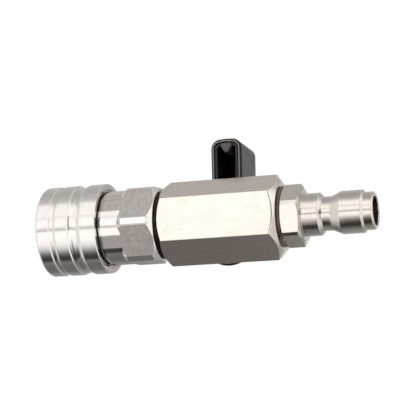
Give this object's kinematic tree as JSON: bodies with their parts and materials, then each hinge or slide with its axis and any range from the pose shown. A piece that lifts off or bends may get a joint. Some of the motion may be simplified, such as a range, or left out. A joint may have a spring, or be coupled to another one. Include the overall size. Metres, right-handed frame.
{
  "type": "pressure washer ball valve",
  "caption": "Hexagon-bodied quarter-turn ball valve with a sleeve-locked quick-connect socket at its inlet, a grooved plug at its outlet and a hollow plastic lever.",
  "frame": {"origin": "centre of the ball, where the flow axis and the stem axis cross", "axes": "+X along the flow from the socket to the plug, +Y out along the stem to the handle, +Z the way the lever points when the valve is shut"},
  "size_m": [0.1376, 0.0588, 0.0556],
  "materials": {
    "plated_steel": "nickel plated, satin milled flats",
    "stainless_steel": "turned stainless steel",
    "plain_steel": "plain bright steel",
    "polished_steel": "polished",
    "seat_plastic": "white fluoroplastic",
    "seal_rubber": "black nitrile",
    "handle_plastic": "black moulded plastic, soft sheen"
  },
  "bodies": {
    "housing": {"valve_body": "plated_steel", "stop_pin": "plain_steel", "inlet_seat": "seat_plastic", "outlet_seat": "seat_plastic", "inlet_seat_o_ring": "seal_rubber", "outlet_seat_o_ring": "seal_rubber", "seat_retainer": "plated_steel", "retainer_o_ring": "seal_rubber", "stem_thrust_washer": "seat_plastic", "coupler_body": "stainless_steel", "coupler_o_ring": "seal_rubber", "sleeve_spring": "plain_steel", "snap_ring": "plain_steel", "plug": "stainless_steel"},
    "lever_and_ball": {"ball": "polished_steel", "stem": "plain_steel", "stem_o_ring_inner": "seal_rubber", "stem_o_ring_outer": "seal_rubber", "handle": "handle_plastic", "handle_washer": "plain_steel", "handle_screw": "plain_steel"},
    "sleeve": {"coupler_sleeve": "stainless_steel"},
    "lock_1": {"locking_ball_1": "polished_steel"},
    "lock_2": {"locking_ball_2": "polished_steel"},
    "lock_3": {"locking_ball_3": "polished_steel"},
    "lock_4": {"locking_ball_4": "polished_steel"},
    "lock_5": {"locking_ball_5": "polished_steel"},
    "lock_6": {"locking_ball_6": "polished_steel"}
  },
  "joints": [
    {"name": "quarter_turn", "type": "hinge", "parent": "housing", "child": "lever_and_ball", "pos_m": [0, 0, 0], "axis": [0, 1, 0], "range_deg": [0, 90]},
    {"name": "sleeve_slide", "type": "slide", "parent": "housing", "child": "sleeve", "axis": [1, 0, 0], "range_m": [0, 0.005], "stiffness_N_per_m": 2500, "springref_m": -0.006, "deforming": ["sleeve_spring"]},
    {"name": "lock_slide_1", "type": "slide", "parent": "housing", "child": "lock_1", "axis": [0, 1, 0], "range_m": [0, 0.00145]},
    {"name": "lock_slide_2", "type": "slide", "parent": "housing", "child": "lock_2", "axis": [0, 0.5, 0.866], "range_m": [0, 0.00145]},
    {"name": "lock_slide_3", "type": "slide", "parent": "housing", "child": "lock_3", "axis": [0, -0.5, 0.866], "range_m": [0, 0.00145]},
    {"name": "lock_slide_4", "type": "slide", "parent": "housing", "child": "lock_4", "axis": [0, -1, 0], "range_m": [0, 0.00145]},
    {"name": "lock_slide_5", "type": "slide", "parent": "housing", "child": "lock_5", "axis": [0, -0.5, -0.866], "range_m": [0, 0.00145]},
    {"name": "lock_slide_6", "type": "slide", "parent": "housing", "child": "lock_6", "axis": [0, 0.5, -0.866], "range_m": [0, 0.00145]}
  ],
  "couplings": [
    {"joint": "lock_slide_1", "follows": "sleeve_slide", "ratio": 0.29},
    {"joint": "lock_slide_2", "follows": "sleeve_slide", "ratio": 0.29},
    {"joint": "lock_slide_3", "follows": "sleeve_slide", "ratio": 0.29},
    {"joint": "lock_slide_4", "follows": "sleeve_slide", "ratio": 0.29},
    {"joint": "lock_slide_5", "follows": "sleeve_slide", "ratio": 0.29},
    {"joint": "lock_slide_6", "follows": "sleeve_slide", "ratio": 0.29}
  ]
}
